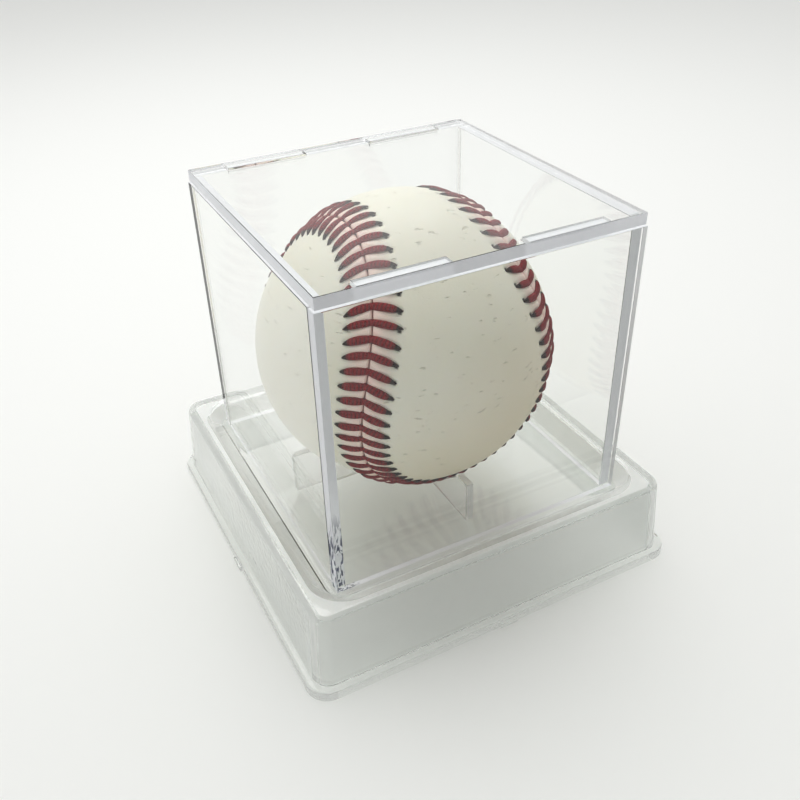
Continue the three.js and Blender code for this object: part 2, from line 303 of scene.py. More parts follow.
# Each finish: its name, colour, then for clear plastic the smudging and the size and height of the
# waves, and for matt plastic the roughness, the size and height of the grain and the clear share.
sheet_clear = clear_plastic("sheet_clear", (0.985, 0.99, 0.985), 0.02, 60, 0.003)
sheet_edge = matt_plastic("sheet_edge", (0.955, 0.965, 1.0), 0.38, 0.8, 0.02, 0.2, crazed=True)
moulded_clear = clear_plastic("moulded_clear", (0.975, 0.985, 0.975), 0.1, 40, 0.003)
moulded_matt = matt_plastic("moulded_matt", (0.88, 0.90, 0.88), 0.42, 1.2, 0.02, 0.72)
tub_matt = matt_plastic("tub_matt", (0.975, 0.98, 0.975), 0.5, 1.2, 0.02, 0.55)
fin_clear = matt_plastic("fin_clear", (0.97, 0.97, 0.96), 0.15, 1.2, 0.01, 0.85)
fin_frost = matt_plastic("fin_frost", (0.96, 0.96, 0.95), 0.35, 1.2, 0.02, 0.5)
finishes = (sheet_clear, sheet_edge, moulded_clear, moulded_matt, tub_matt, fin_clear, fin_frost)
print("clear finishes:", [finish.name for finish in finishes])

# %% [markdown]
# ## Pedestal tray
# The tray is one hollow moulding: a foot flange, a slightly tapered body with a rounded top edge, and a
# recess that hangs in the middle and holds the cover. Each level of it is a square with round corners,
# so one outline, walked from the middle of the recess over the rim, down the outside, under the foot
# and back through the hollow, makes the whole closed wall. It is drawn as half width, corner radius
# and height. The quarter rounds are worked out, so no bevel can slip or pinch.

# %% Tray outline
TRAY_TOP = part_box("base_tray")[1].z / MM
NIB_PROUD = 0.6
FLANGE_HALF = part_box("base_tray")[1].x / MM - NIB_PROUD
FLANGE_CORNER = 5.8
FLANGE_TOP = 2.8
FLANGE_ROUND = 0.9
BODY_FOOT_HALF = 51.1
BODY_TOP_HALF = 50.0
BODY_CORNER = 4.6
BODY_ROUND = 1.6
RECESS_HALF = 45.0
RECESS_CORNER = 8.0
LIP_ROUND = 1.5
SLOPE_ANGLE = 43
FLOOR_TOP = 19.6
FLOOR_HALF = 41.6
FLOOR_CORNER = 3.2
TRAY_WALL = 2.0
TUB_WALL = 1.6
FILLET = 0.35
ROUND_STEPS = 6


def quarter(half, corner, z, radius, start, sweep=90):
    """Levels along a round whose centre is (half, z), from start degrees on, turning clockwise."""
    levels = []
    for step in range(ROUND_STEPS + 1):
        angle = math.radians(start - sweep * step / ROUND_STEPS)
        out = radius * math.cos(angle)
        levels.append((half + out, corner + out, z + radius * math.sin(angle)))
    return levels


def outside_levels():
    """From the edge of the recess floor over the rim, down the body, round the flange and under it."""
    return [
        (FLOOR_HALF - FILLET, FLOOR_CORNER - FILLET, FLOOR_TOP),
        (FLOOR_HALF, FLOOR_CORNER, FLOOR_TOP + FILLET / 3),
        *quarter(RECESS_HALF + LIP_ROUND, RECESS_CORNER + LIP_ROUND, TRAY_TOP - LIP_ROUND, LIP_ROUND,
                 90 + SLOPE_ANGLE, SLOPE_ANGLE),
        *quarter(BODY_TOP_HALF - BODY_ROUND, BODY_CORNER - BODY_ROUND, TRAY_TOP - BODY_ROUND,
                 BODY_ROUND, 90),
        (BODY_FOOT_HALF, BODY_CORNER, FLANGE_TOP + FILLET / 2),
        (BODY_FOOT_HALF + FILLET / 2, BODY_CORNER + FILLET / 2, FLANGE_TOP),
        *quarter(FLANGE_HALF - FLANGE_ROUND, FLANGE_CORNER - FLANGE_ROUND, FLANGE_TOP - FLANGE_ROUND,
                 FLANGE_ROUND, 90),
        *quarter(FLANGE_HALF - FILLET, FLANGE_CORNER - FILLET, FILLET, FILLET, 0),
    ]


def hollow_levels():
    """Up the inside of the body's wall, to the ceiling."""
    ceiling = TRAY_TOP - TRAY_WALL
    half = BODY_TOP_HALF - TRAY_WALL
    corner = BODY_CORNER - TRAY_WALL
    return [
        (BODY_FOOT_HALF - TRAY_WALL, corner, 0),
        (half, corner, ceiling - FILLET),
        (half - FILLET, corner - FILLET, ceiling),
    ]


def tub_levels():
    """Down the outside of the tub that forms the recess, and round to its underside."""
    foot = FLOOR_TOP - TRAY_WALL
    half = FLOOR_HALF + TUB_WALL
    corner = FLOOR_CORNER + TUB_WALL
    return [
        (RECESS_HALF + TUB_WALL, RECESS_CORNER + TUB_WALL, TRAY_TOP - TRAY_WALL),
        (half, corner, foot + FILLET),
        (half - FILLET, corner - FILLET, foot),
    ]


# %% [markdown]
# The corners take 24 steps each, because a clear corner shows every facet as a bright line. The mould
# leaves the inside of the hollow slightly grained, so those levels get the matt finish, and what shows
# through them is blurred into soft bands. Only the floor of the recess is polished on both sides.

# %% Tray mesh
CORNER_STEPS = 24
RING_SIZE = 4 * (CORNER_STEPS + 1)


def square_ring(half, corner, z):
    ring = []
    for side in range(4):
        middle = math.radians(side * 90 + 45)
        reach = (half - corner) * math.sqrt(2)
        for step in range(CORNER_STEPS + 1):
            angle = math.radians(side * 90 + 90 * step / CORNER_STEPS)
            ring.append((
                reach * math.cos(middle) + corner * math.cos(angle),
                reach * math.sin(middle) + corner * math.sin(angle),
                z,
            ))
    return ring


def swept_square(levels):
    """Points and faces of the closed shape whose levels are listed from one capped end to the other."""
    points = [point for level in levels for point in square_ring(*level)]
    faces = []
    for level in range(len(levels) - 1):
        for place in range(RING_SIZE):
            a = level * RING_SIZE + place
            b = level * RING_SIZE + (place + 1) % RING_SIZE
            faces.append((a, b, b + RING_SIZE, a + RING_SIZE))
    faces.append(tuple(range(RING_SIZE)))
    faces.append(tuple(range(len(points) - RING_SIZE, len(points)))[::-1])
    return points, faces


def make_tray():
    outside, hollow, tub = outside_levels(), hollow_levels(), tub_levels()
    points, faces = swept_square(outside + hollow + tub)
    piece = new_piece("tray_moulding", points, faces, moulded_clear, moulded_matt, tub_matt)
    hollow_start = len(outside)
    tub_start = hollow_start + len(hollow) - 1
    floor_start = tub_start + len(tub) - 1
    hollow_finish, tub_finish = 1, 2
    spans = ((hollow_finish, hollow_start, tub_start), (tub_finish, tub_start, floor_start))
    for finish, first, last in spans:
        for place in range(first * RING_SIZE, last * RING_SIZE):
            piece.data.polygons[place].material_index = finish
    return piece


tray = make_tray()
print("tray open edges:", tidy_mesh(tray.data))

# %% [markdown]
# A moulding nib is left in the middle of each side of the flange. They are separate small rounded
# blocks sunk into the flange and joined to it with a boolean, so the tray stays one closed skin.

# %% Moulding nibs
NIB_WIDTH = 5.0
NIB_LOW, NIB_HIGH = 0.3, 1.7
NIB_SUNK = 1.5
NIB_EDGE = 0.25


def apply_modifiers(piece):
    graph = bpy.context.evaluated_depsgraph_get()
    mesh = bpy.data.meshes.new_from_object(piece.evaluated_get(graph))
    piece.modifiers.clear()
    piece.data = mesh
    return piece


def round_edges(piece, width, segments=3, angle=math.radians(40)):
    bevel = piece.modifiers.new("edges", "BEVEL")
    bevel.width = width * MM
    bevel.segments = segments
    bevel.limit_method = "ANGLE"
    bevel.angle_limit = angle
    bevel.use_clamp_overlap = True
    return apply_modifiers(piece)


def make_nib():
    sides = (-NIB_WIDTH / 2, NIB_WIDTH / 2)
    reach = (FLANGE_HALF - NIB_SUNK, FLANGE_HALF + NIB_PROUD)
    points = [(x, y, z) for z in (NIB_LOW, NIB_HIGH) for y in sides for x in reach]
    faces = [(0, 2, 3, 1), (4, 5, 7, 6), (0, 1, 5, 4), (2, 6, 7, 3), (0, 4, 6, 2), (1, 3, 7, 5)]
    return round_edges(new_piece("nib", points, faces, moulded_clear), NIB_EDGE)


def join_nibs(tray):
    for side in range(4):
        nib = make_nib()
        nib.data.transform(Matrix.Rotation(math.radians(90 * side), 4, "Z"))
        union = tray.modifiers.new("nib", "BOOLEAN")
        union.operation = "UNION"
        union.object = nib
        apply_modifiers(tray)
        bpy.data.objects.remove(nib)


join_nibs(tray)
shade_smooth(tray.data)
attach(tray, "pedestal")
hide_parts("base_tray")
report(tray)

# %% [markdown]
# ## Cradle fins
# Four thin upright fins stand in a cross and hold the ball just clear of the floor. Each one is a flat
# outline, a straight foot and outer end and a hollow curve that follows the ball, given its thickness
# and a small round on every edge. The first is drawn towards the right and the others are turned. Their
# broad faces are nearly clear and their edges are frosted.

# %% Cradle fins
ball_low, ball_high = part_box("ball_pill")
BALL_CENTRE = (ball_low + ball_high) / 2 / MM
fin_low, fin_high = (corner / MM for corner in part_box("cradle_fin_right"))
SEAT_RADIUS = 37.35
FIN_EDGE = 0.25
SEAT_STEPS = 20


def fin_outline():
    """The fin's side as (distance from the middle, height), with the seat curve worked out."""
    top_reach = math.sqrt(SEAT_RADIUS**2 - (BALL_CENTRE.z - fin_high.z) ** 2)
    start = -math.acos(top_reach / SEAT_RADIUS)
    end = -math.acos(fin_low.x / SEAT_RADIUS)
    outline = [(fin_low.x, fin_low.z), (fin_high.x, fin_low.z), (fin_high.x, fin_high.z)]
    for step in range(SEAT_STEPS + 1):
        angle = start + (end - start) * step / SEAT_STEPS
        outline.append((SEAT_RADIUS * math.cos(angle), BALL_CENTRE.z + SEAT_RADIUS * math.sin(angle)))
    return outline


def make_fin(side, turns):
    outline = fin_outline()
    count = len(outline)
    mostly_sideways = 0.5
    points = [(x, y, z) for y in (fin_low.y, fin_high.y) for x, z in outline]
    faces = [tuple(range(count)), tuple(range(count, 2 * count))[::-1]]
    for place in range(count):
        after = (place + 1) % count
        faces.append((place, place + count, after + count, after))
    fin = new_piece(f"fin_{side}", points, faces, fin_clear, fin_frost)
    tidy_mesh(fin.data)
    round_edges(fin, FIN_EDGE)
    for face in fin.data.polygons:
        face.material_index = int(abs(face.normal.y) < mostly_sideways)
    keep_flats_flat(fin.data)
    fin.data.transform(Matrix.Rotation(math.radians(90 * turns), 4, "Z"))
    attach(fin, "pedestal")
    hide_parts(f"cradle_fin_{side}")
    return fin


for turns, side in enumerate(("right", "back", "left", "front")):
    report(make_fin(side, turns))

# %% [markdown]
# ## Cover
# The cover is five flat sheets bonded at their edges. The front and back carry tabs that key into the
# lid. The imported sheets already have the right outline, so each one is copied, its loose triangles are
# merged back into flat faces, and its edges get the hair-fine round that scraping leaves. The broad
# faces are polished and stay clear. The narrow faces were sawn and bonded, so they get the matt finish,
# and that is what draws the pale lines round the cover. The upright joints at the back filled cleanly,
# so they stay clear and nearly vanish.

# %% Cover sheets
SHEET_EDGE_ROUND = 0.18
LOOSE_TRIANGLES = 1e-5
BACK_JOINT = 30.0
cover_nodes = ("cover_lid", "cover_wall_front", "cover_wall_back", "cover_wall_left", "cover_wall_right")
broad_axis = {"lid": 2, "front": 1, "back": 1, "left": 0, "right": 0}
flat = math.radians(1)


def make_sheet(node):
    side = node.split("_")[-1]
    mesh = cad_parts[node].data.copy()
    mesh.materials.clear()
    mesh.materials.append(sheet_clear)
    mesh.materials.append(sheet_edge)
    sheet = bpy.data.objects.new(f"sheet_{side}", mesh)
    scene.collection.objects.link(sheet)
    tidy_mesh(mesh, LOOSE_TRIANGLES)
    shape = bmesh.new()
    shape.from_mesh(mesh)
    bmesh.ops.dissolve_limit(shape, angle_limit=flat, verts=shape.verts, edges=shape.edges)
    shape.to_mesh(mesh)
    shape.free()
    round_edges(sheet, SHEET_EDGE_ROUND, segments=2)
    axis = broad_axis[side]
    for face in sheet.data.polygons:
        clean_joint = face.center.y > BACK_JOINT * MM and abs(face.normal.z) < 0.5
        face.material_index = int(abs(face.normal[axis]) < 0.7 and not clean_joint)
    keep_flats_flat(sheet.data)
    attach(sheet, "cover")
    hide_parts(node)
    return sheet


for node in cover_nodes:
    report(make_sheet(node))

# %% [markdown]
# ## The seam
# A ball's cover is two equal figure-eight panels, and the line between them winds round the ball and
# back. Three waves describe it: one turn for the circle, three turns for the snaking, and two turns for
# the swing towards the poles. Everything on the ball is measured from this line.

# %% The seam
SEAM_BEND = 0.465
SEAM_LIFT = 1.133
BALL_TURN = (-4.9, 1.3, -89.1)
BALL_RADIUS = 36.7
SEAM_SAMPLES = 2880
SLOPE_STEP = 1e-4


def seam_points(t):
    turn = np.asarray(t) * 2 * math.pi
    points = np.stack([
        np.sin(turn) + SEAM_BEND * np.sin(3 * turn),
        np.cos(turn) - SEAM_BEND * np.cos(3 * turn),
        SEAM_LIFT * np.cos(2 * turn),
    ], -1)
    return points / np.linalg.norm(points, axis=-1, keepdims=True)


def seam_across(t):
    """Unit vectors square to the seam, towards the panel that covers the top pole."""
    along = seam_points(t + SLOPE_STEP) - seam_points(t - SLOPE_STEP)
    along /= np.linalg.norm(along, axis=-1, keepdims=True)
    return np.cross(along, seam_points(t))


def ball_matrix():
    x, y, z = (Matrix.Rotation(math.radians(angle), 3, axis) for angle, axis in zip(BALL_TURN, "XYZ"))
    return np.array(x @ y @ z)


seam_t = np.arange(SEAM_SAMPLES) / SEAM_SAMPLES
seam_line = seam_points(seam_t)
seam_side = seam_across(seam_t)
seam_steps = np.linalg.norm(np.roll(seam_line, -1, 0) - seam_line, axis=1) * BALL_RADIUS
seam_length = seam_steps.sum()
seam_run = np.concatenate([[0], np.cumsum(seam_steps)[:-1]])
print("seam length in mm:", round(seam_length, 1))

# %% [markdown]
# ## Leather panels
# Real panels are cut flat and pulled round the winding, so their edges pucker: the leather stands up in
# a soft welt beside the seam, bulges between the stitches, sinks under each thread and dives into the
# joint. A plain sphere with a picture of stitches would show none of that. Each panel is a fine grid of
# arcs between mirrored points of the seam, crowded towards its edge, and every point is raised or
# lowered by its distance from the seam and its place between two stitches.

# %% Leather panels
STITCH_COUNT = 108
HOLE_REACH = 6.15
STITCH_LEAN = -1.6
pitch = seam_length / STITCH_COUNT
PANEL_COLUMNS = 420
PANEL_ROWS = 84
EDGE_CROWDING = 0.11
LEATHER = 1.3
JOINT_HALF = 0.06
# Heights and depths of the puckers, how far from the seam each one is centred, and how wide it is.
WELT, WELT_AWAY, WELT_WIDTH = 0.48, 2.2, 2.2
WELT_UNDER_THREAD, WELT_GROWTH = 0.1, 1.8
JOINT_DEPTH, JOINT_WIDTH = 0.65, 0.28
PRESSED, PRESSED_AWAY, PRESSED_WIDTH, PRESSED_LENGTH = 0.24, 3.0, 2.8, 0.8
HOLE_DEPTH, HOLE_WIDTH = 0.55, 0.5
BATCH = 4000


def nearest_on_seam(points):
    """Distance from the seam in mm and the place along it in stitches, for unit vectors."""
    distance = np.empty(len(points))
    run = np.empty(len(points))
    for start in range(0, len(points), BATCH):
        some = points[start:start + BATCH]
        closeness = some @ seam_line.T
        best = closeness.argmax(1)
        offset = np.einsum("ij,ij->i", some, seam_side[best])
        chord = np.linalg.norm(some - seam_line[best], axis=1)
        distance[start:start + BATCH] = np.sign(offset) * chord * BALL_RADIUS
        run[start:start + BATCH] = seam_run[best] / pitch
    return distance, run


def hump(x, width):
    return np.exp(-(x / width) ** 2)


def thread_phase(distance, run):
    """Place between two stitches, from -0.5 to 0.5, with 0 under the middle of the slanting thread."""
    slant = STITCH_LEAN / pitch * np.abs(distance) / HOLE_REACH
    return (run - slant + 0.5) % 1 - 0.5


def leather_height(distance, run):
    """How far the leather stands above or below the plain ball, in mm."""
    away = np.abs(distance)
    phase = thread_phase(distance, run)
    growth = WELT_UNDER_THREAD + WELT_GROWTH * np.abs(phase)
    welt = WELT * hump(away - WELT_AWAY, WELT_WIDTH) * growth
    joint = -JOINT_DEPTH * hump(away, JOINT_WIDTH)
    pressed = -PRESSED * hump(phase * pitch, PRESSED_LENGTH) * hump(away - PRESSED_AWAY, PRESSED_WIDTH)
    hole = -HOLE_DEPTH * hump(np.hypot(phase * pitch, away - HOLE_REACH), HOLE_WIDTH)
    return welt + joint + pressed + hole


def panel_grid(mirror):
    t = np.linspace(-0.25, 0.25, PANEL_COLUMNS + 1)
    edge = seam_points(t) + seam_across(t) * (JOINT_HALF / BALL_RADIUS)
    edge /= np.linalg.norm(edge, axis=1, keepdims=True)
    longitude = np.arctan2(edge[:, 0], edge[:, 2])[:, None]
    latitude = np.arcsin(np.clip(edge[:, 1], -1, 1))[:, None]
    share = np.linspace(0, 1, PANEL_ROWS + 1)
    share = share - EDGE_CROWDING * np.sin(2 * math.pi * share)
    lift = latitude * (1 - 2 * share)[None, :]
    grid = np.stack([
        np.cos(lift) * np.sin(longitude),
        np.sin(lift),
        np.cos(lift) * np.cos(longitude),
    ], -1).reshape(-1, 3)
    if mirror:
        grid = np.stack([grid[:, 1], -grid[:, 0], -grid[:, 2]], -1)
    return grid


def panel_faces():
    def at(layer, column, row):
        return (layer * (PANEL_COLUMNS + 1) + column) * (PANEL_ROWS + 1) + row

    faces = []
    for c in range(PANEL_COLUMNS):
        for r in range(PANEL_ROWS):
            corners = ((c, r), (c + 1, r), (c + 1, r + 1), (c, r + 1))
            faces.append(tuple(at(0, *corner) for corner in corners))
            faces.append(tuple(at(1, *corner) for corner in corners[::-1]))
        for r in (0, PANEL_ROWS):
            faces.append((at(0, c, r), at(1, c, r), at(1, c + 1, r), at(0, c + 1, r)))
    return faces


def make_panel(name, mirror, leather):
    grid = panel_grid(mirror)
    distance, run = nearest_on_seam(grid)
    outer = grid * (BALL_RADIUS + leather_height(distance, run))[:, None]
    inner = grid * (BALL_RADIUS - LEATHER)
    points = np.vstack([outer, inner]) @ ball_matrix().T + np.array(BALL_CENTRE)
    piece = new_piece(name, points, panel_faces(), leather)
    for key, values in (("seam_distance", distance), ("thread_phase", thread_phase(distance, run))):
        attribute = piece.data.attributes.new(key, "FLOAT", "POINT")
        attribute.data.foreach_set("value", np.tile(np.abs(values), 2))
    print(name, "open edges:", tidy_mesh(piece.data, 2e-6))
    shade_smooth(piece.data, math.radians(70))
    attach(piece, "ball")
    return piece


# %% [markdown]
# ## Leather
# Ball leather is tanned white, with a fine pebble, faint stretch creases, a few short scuffs and a little
# grime. Its lower front side, turned away from the lamp, is painted darker and warmer as painted shade.
# Beside the seam the red thread has rubbed some of its dye off, so the leather there turns pink between
# the stitches, painted bright as a painted highlight on the welts, and the needle holes are painted dark,
# partly as dirt and partly as painted shade.

# %% Leather finish
TANNED_DARKER, TANNED_PALER = (0.86, 0.83, 0.70), (0.91, 0.885, 0.78)
GRIME = (0.42, 0.38, 0.30)
# Painted shade: the lower front side of the ball, turned away from the lamp, is painted darker and warmer.
PAINTED_SHADE_TINT = (0.76, 0.63, 0.42)
PAINTED_SHADE_SIDE = (0.5, -0.55, -0.67)
SCUFFED = (0.50, 0.46, 0.38)
# Pink from dye rubbed off the thread, painted bright as a painted highlight on the welts beside the seam.
DYE_AND_HIGHLIGHT = (0.98, 0.72, 0.66)
JOINT_COLOUR = (0.42, 0.15, 0.13)
# Needle holes: partly dirt and partly painted shade in the holes.
HOLE_DIRT_AND_SHADE = (0.07, 0.065, 0.05)


def leather_material():
    material, tree, where = new_material("ball_leather")
    away = add(tree, "ShaderNodeAttribute", attribute_name="seam_distance").outputs["Fac"]
    phase = add(tree, "ShaderNodeAttribute", attribute_name="thread_phase").outputs["Fac"]

    broad = noise(tree, where, 35, 3)
    base = ramp(tree, broad, (0.3, TANNED_DARKER), (0.7, TANNED_PALER))
    spots = add(tree, "ShaderNodeTexVoronoi", {"Vector": where, "Scale": 160.0}).outputs["Distance"]
    grime = remap(tree, spots, 0.02, 0.08, 0.6, 0)
    sparse = remap(tree, noise(tree, where, 70, 2), 0.5, 0.58, 0, 1)
    base = mix_colour(tree, product(tree, grime, sparse), base, GRIME)
    # Painted shade: a darker, warmer colour towards the lower front side of the ball.
    side = add(tree, "ShaderNodeVectorMath", {0: where, 1: PAINTED_SHADE_SIDE}, operation="DOT_PRODUCT")
    base = mix_colour(tree, remap(tree, side.outputs["Value"], -0.032, 0.0, 0, 0.62), base, PAINTED_SHADE_TINT)

    stretched = add(tree, "ShaderNodeMapping", {
        "Vector": where, "Rotation": (0.3, 0.5, 0.2), "Scale": (1.0, 1.0, 3.2),
    }).outputs[0]
    scuffs = remap(tree, noise(tree, stretched, 330, 2), 0.67, 0.73, 0, 1)
    base = mix_colour(tree, product(tree, scuffs, 0.4), base, SCUFFED)

    # Pink dye beside the seam, partly real dye and partly a painted highlight on the welts.
    dyed_and_lit_near_seam = remap(tree, away, 1.0, 6.2, 0.95, 0)
    patchy = remap(tree, noise(tree, where, 260, 2), 0.3, 0.7, 0.6, 1)
    base = mix_colour(tree, product(tree, dyed_and_lit_near_seam, patchy), base, DYE_AND_HIGHLIGHT)
    base = mix_colour(tree, remap(tree, away, 0.06, 0.22, 0.8, 0), base, JOINT_COLOUR)
    # Painted shade with some dirt: the needle holes are painted dark.
    hole_across = remap(tree, away, HOLE_REACH - 0.7, HOLE_REACH - 0.3, 0, 1)
    hole_end = remap(tree, away, HOLE_REACH + 0.2, HOLE_REACH + 0.6, 1, 0)
    hole_along = remap(tree, phase, 0.08, 0.16, 1, 0)
    base = mix_colour(tree, product(tree, hole_across, hole_end, hole_along), base, HOLE_DIRT_AND_SHADE)

    pebble = add(tree, "ShaderNodeTexVoronoi", {"Vector": where, "Scale": 1500.0, "Randomness": 0.9})
    fine = bump(tree, pebble.outputs["Distance"], 0.25, 0.06 * MM)
    creases = noise(tree, where, 420, 5, Distortion=0.6)
    fine = bump(tree, creases, 0.35, 0.10 * MM, fine)
    fine = bump(tree, broad, 0.5, 0.5 * MM, fine)
    fine = bump(tree, scuffs, 1.0, -0.15 * MM, fine)
    roughness = remap(tree, creases, 0.3, 0.7, 0.46, 0.62)
    finish_material(tree, principled(
        tree, Base_Color=base, Roughness=roughness, IOR=1.45, Normal=fine, Specular_IOR_Level=0.4,
        Subsurface_Weight=0.12, Subsurface_Radius=(0.0015, 0.001, 0.0006), Subsurface_Scale=1.0,
    ))
    return material


leather = leather_material()
for name, node, mirror in (("panel_a", "ball_leather_a", False), ("panel_b", "ball_leather_b", True)):
    panel = make_panel(name, mirror, leather)
    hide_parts(node)
    report(panel)

# %% [markdown]
# ## Stitches
# Two rows of thick waxed thread pull the panels together. Every stitch leaves the joint, arches over
# the leather and dives into its hole, and the two rows lean the same way from the joint, which gives
# the chevron. Geometry Nodes suit this: the seam is a curve, one stitch is a short bent tube that
# thins at both ends, and a copy of it is placed at each of the evenly spaced points. The tree has a
# named input for every size, and the two rows are two stitches with opposite reach.

# %% Thread
# Painted shade and light on the thread: a shaded red for the grooves of the twist and a lit red for the
# crests.
RED_SHADED_GROOVE, RED_LIT_PLY = (0.12, 0.001, 0.004), (0.26, 0.004, 0.009)
RED_FUZZ = (0.34, 0.02, 0.025)
RED_WORN = (0.30, 0.03, 0.03)
# Stitch ends: partly dirt and partly painted shade where the thread dives into its hole.
TIP_DIRT_AND_SHADE = (0.012, 0.009, 0.006)
TWISTS = 9.0


def thread_material():
    material, tree, where = new_material("red_thread")
    along = add(tree, "ShaderNodeAttribute", attribute_name="thread_along").outputs["Fac"]
    around = add(tree, "ShaderNodeAttribute", attribute_name="thread_around").outputs["Fac"]
    twist = combine(tree, "ADD", product(tree, along, TWISTS), around)
    wave = add(tree, "ShaderNodeMath", {0: product(tree, twist, 2 * math.pi)}, operation="SINE").outputs[0]
    ply = remap(tree, wave, -1, 1, 0, 1)
    fuzz = noise(tree, where, 2500, 3)
    # Painted shade in the grooves between the plies and painted light on their crests.
    base = ramp(tree, ply, (0.1, RED_SHADED_GROOVE), (0.7, RED_LIT_PLY))
    base = mix_colour(tree, remap(tree, fuzz, 0.4, 0.75, 0, 0.25), base, RED_FUZZ)
    worn = remap(tree, noise(tree, where, 140, 2), 0.5, 0.75, 0, 0.25)
    base = mix_colour(tree, worn, base, RED_WORN)
    # Painted shade with some dirt: the outer end of each stitch is painted nearly black.
    base = mix_colour(tree, remap(tree, along, 0.67, 0.77, 0, 0.95), base, TIP_DIRT_AND_SHADE)
    relief = bump(tree, ply, 0.6, 0.08 * MM)
    relief = bump(tree, fuzz, 0.4, 0.05 * MM, relief)
    roughness = remap(tree, fuzz, 0.3, 0.7, 0.5, 0.75)
    finish_material(tree, principled(
        tree, Base_Color=base, Roughness=roughness, Normal=relief, Specular_IOR_Level=0.1,
    ))
    return material


# %% Stitch tree
TAPER = ((0, 0.9), (0.3, 1.0), (0.62, 0.92), (0.85, 0.55), (1, 0.2))
SMALLEST_STITCH, LARGEST_STITCH = (0.9, 0.97, 0.47), (1.07, 1.02, 0.54)


def stitch_tree(thread):
    tree = bpy.data.node_groups.new("stitches", "GeometryNodeTree")
    face = tree.interface
    face.new_socket("Geometry", in_out="INPUT", socket_type="NodeSocketGeometry")
    face.new_socket("Geometry", in_out="OUTPUT", socket_type="NodeSocketGeometry")
    sizes = {"Count": "NodeSocketInt", "Seed": "NodeSocketInt"}
    for name in ("Reach", "Lean", "Rise", "Dive", "Thickness", "Joint Half"):
        sizes[name] = "NodeSocketFloat"
    face.new_socket("Ball Centre", in_out="INPUT", socket_type="NodeSocketVector")
    for name, kind in sizes.items():
        face.new_socket(name, in_out="INPUT", socket_type=kind)
    given = tree.nodes.new("NodeGroupInput").outputs

    def vector(x, y, z):
        return add(tree, "ShaderNodeCombineXYZ", {"X": x, "Y": y, "Z": z}).outputs[0]

    def numbered(geometry, name):
        """Keep each point's place along its spline under a name, for the material."""
        along = add(tree, "GeometryNodeSplineParameter").outputs["Factor"]
        inputs = {"Geometry": geometry, "Name": name, "Value": along}
        settings = {"data_type": "FLOAT", "domain": "POINT"}
        return along, add(tree, "GeometryNodeStoreNamedAttribute", inputs, **settings).outputs[0]

    def one_stitch(way):
        start = vector(0.0, product(tree, given["Joint Half"], way), product(tree, given["Dive"], -0.2))
        middle = vector(
            product(tree, given["Lean"], 0.35), product(tree, given["Reach"], 0.5 * way), given["Rise"],
        )
        end = vector(given["Lean"], product(tree, given["Reach"], way), product(tree, given["Dive"], -1.0))
        arch = add(tree, "GeometryNodeCurveQuadraticBezier", {
            "Resolution": 7, "Start": start, "Middle": middle, "End": end,
        })
        along, arch = numbered(arch.outputs[0], "thread_along")
        taper = add(tree, "ShaderNodeFloatCurve", {"Value": along})
        curve = taper.mapping.curves[0]
        curve.points[0].location, curve.points[1].location = TAPER[0], TAPER[-1]
        for place, size in TAPER[1:-1]:
            curve.points.new(place, size)
        taper.mapping.update()
        radius = product(tree, taper.outputs[0], given["Thickness"], 0.5)
        sized = add(tree, "GeometryNodeSetCurveRadius", {"Curve": arch, "Radius": radius})
        ring = add(tree, "GeometryNodeCurvePrimitiveCircle", {"Resolution": 7, "Radius": 1.0})
        ring = numbered(ring.outputs[0], "thread_around")[1]
        inputs = {"Curve": sized.outputs[0], "Profile Curve": ring, "Fill Caps": True}
        made = add(tree, "GeometryNodeCurveToMesh", inputs)
        if "Scale" in made.inputs:
            tree.links.new(radius, made.inputs["Scale"])
        return made.outputs[0]

    evened = add(tree, "GeometryNodeCurveToPoints", {"Curve": given["Geometry"], "Count": given["Count"]})
    place = add(tree, "GeometryNodeInputPosition").outputs[0]
    outward = add(tree, "ShaderNodeVectorMath", {0: place, 1: given["Ball Centre"]}, operation="SUBTRACT")
    upright = add(tree, "FunctionNodeAlignRotationToVector", {"Vector": outward.outputs[0]}, axis="Z")
    facing = add(tree, "FunctionNodeAlignRotationToVector", {
        "Rotation": upright.outputs[0], "Vector": evened.outputs["Tangent"],
    }, axis="X", pivot_axis="Z")
    joined = add(tree, "GeometryNodeJoinGeometry")
    for way in (1.0, -1.0):
        uneven = add(tree, "FunctionNodeRandomValue", {
            0: SMALLEST_STITCH, 1: LARGEST_STITCH, "Seed": given["Seed"],
        }, data_type="FLOAT_VECTOR")
        row = add(tree, "GeometryNodeInstanceOnPoints", {
            "Points": evened.outputs["Points"], "Instance": one_stitch(way),
            "Rotation": facing.outputs[0], "Scale": uneven.outputs[0],
        })
        tree.links.new(row.outputs[0], joined.inputs[0])
    real = add(tree, "GeometryNodeRealizeInstances", {"Geometry": joined.outputs[0]})
    smooth = add(tree, "GeometryNodeSetShadeSmooth", {"Geometry": real.outputs[0]})
    coloured = add(tree, "GeometryNodeSetMaterial", {"Geometry": smooth.outputs[0], "Material": thread})
    add(tree, "NodeGroupOutput", {0: coloured.outputs[0]})
    return tree


# %% Sew the ball
def seam_curve():
    line = (seam_line * BALL_RADIUS) @ ball_matrix().T + np.array(BALL_CENTRE)
    data = bpy.data.curves.new("seam", "CURVE")
    data.dimensions = "3D"
    spline = data.splines.new("POLY")
    spline.points.add(len(line) - 1)
    spline.points.foreach_set("co", np.c_[line * MM, np.ones(len(line))].ravel())
    spline.use_cyclic_u = True
    curve = bpy.data.objects.new("seam", data)
    scene.collection.objects.link(curve)
    return curve


